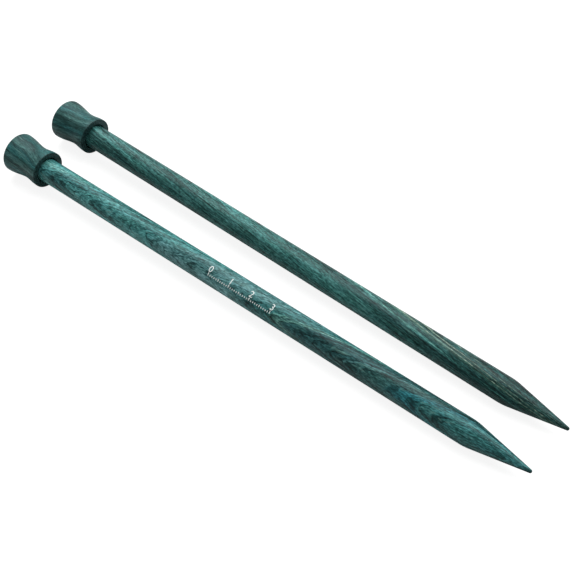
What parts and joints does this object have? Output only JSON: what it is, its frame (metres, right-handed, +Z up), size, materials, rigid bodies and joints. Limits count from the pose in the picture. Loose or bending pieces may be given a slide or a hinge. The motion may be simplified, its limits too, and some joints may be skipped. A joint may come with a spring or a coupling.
{
  "type": "pair of straight knitting needles",
  "caption": "Pair of straight single-pointed wooden knitting needles, each a turned shaft with a long point, glued into a turned spool-shaped stopper head.",
  "frame": {"origin": "on the table that the pair lies on, under the middle of the pair", "axes": "+X from the heads to the points, along the front needle as seen from above; +Y from the front needle to the back one; +Z up"},
  "size_m": [0.2518, 0.0436, 0.0171],
  "materials": {
    "teal_birch": "teal dyed laminated birch, satin lacquer",
    "dark_green_birch": "dark green dyed laminated birch, satin lacquer",
    "head_birch": "teal and grey dyed laminated birch, near-black end grain, satin lacquer",
    "white_ink": "thin printed ink under the lacquer"
  },
  "bodies": {
    "front_needle": {"front_shaft": "teal_birch", "front_head": "head_birch"},
    "back_needle": {"back_shaft": "dark_green_birch", "back_head": "head_birch"}
  },
  "joints": [
    {"name": "back_needle_slide", "type": "slide", "parent": "front_needle", "child": "back_needle", "axis": [0, 1, 0], "range_m": [-0.009, 0.1]}
  ]
}
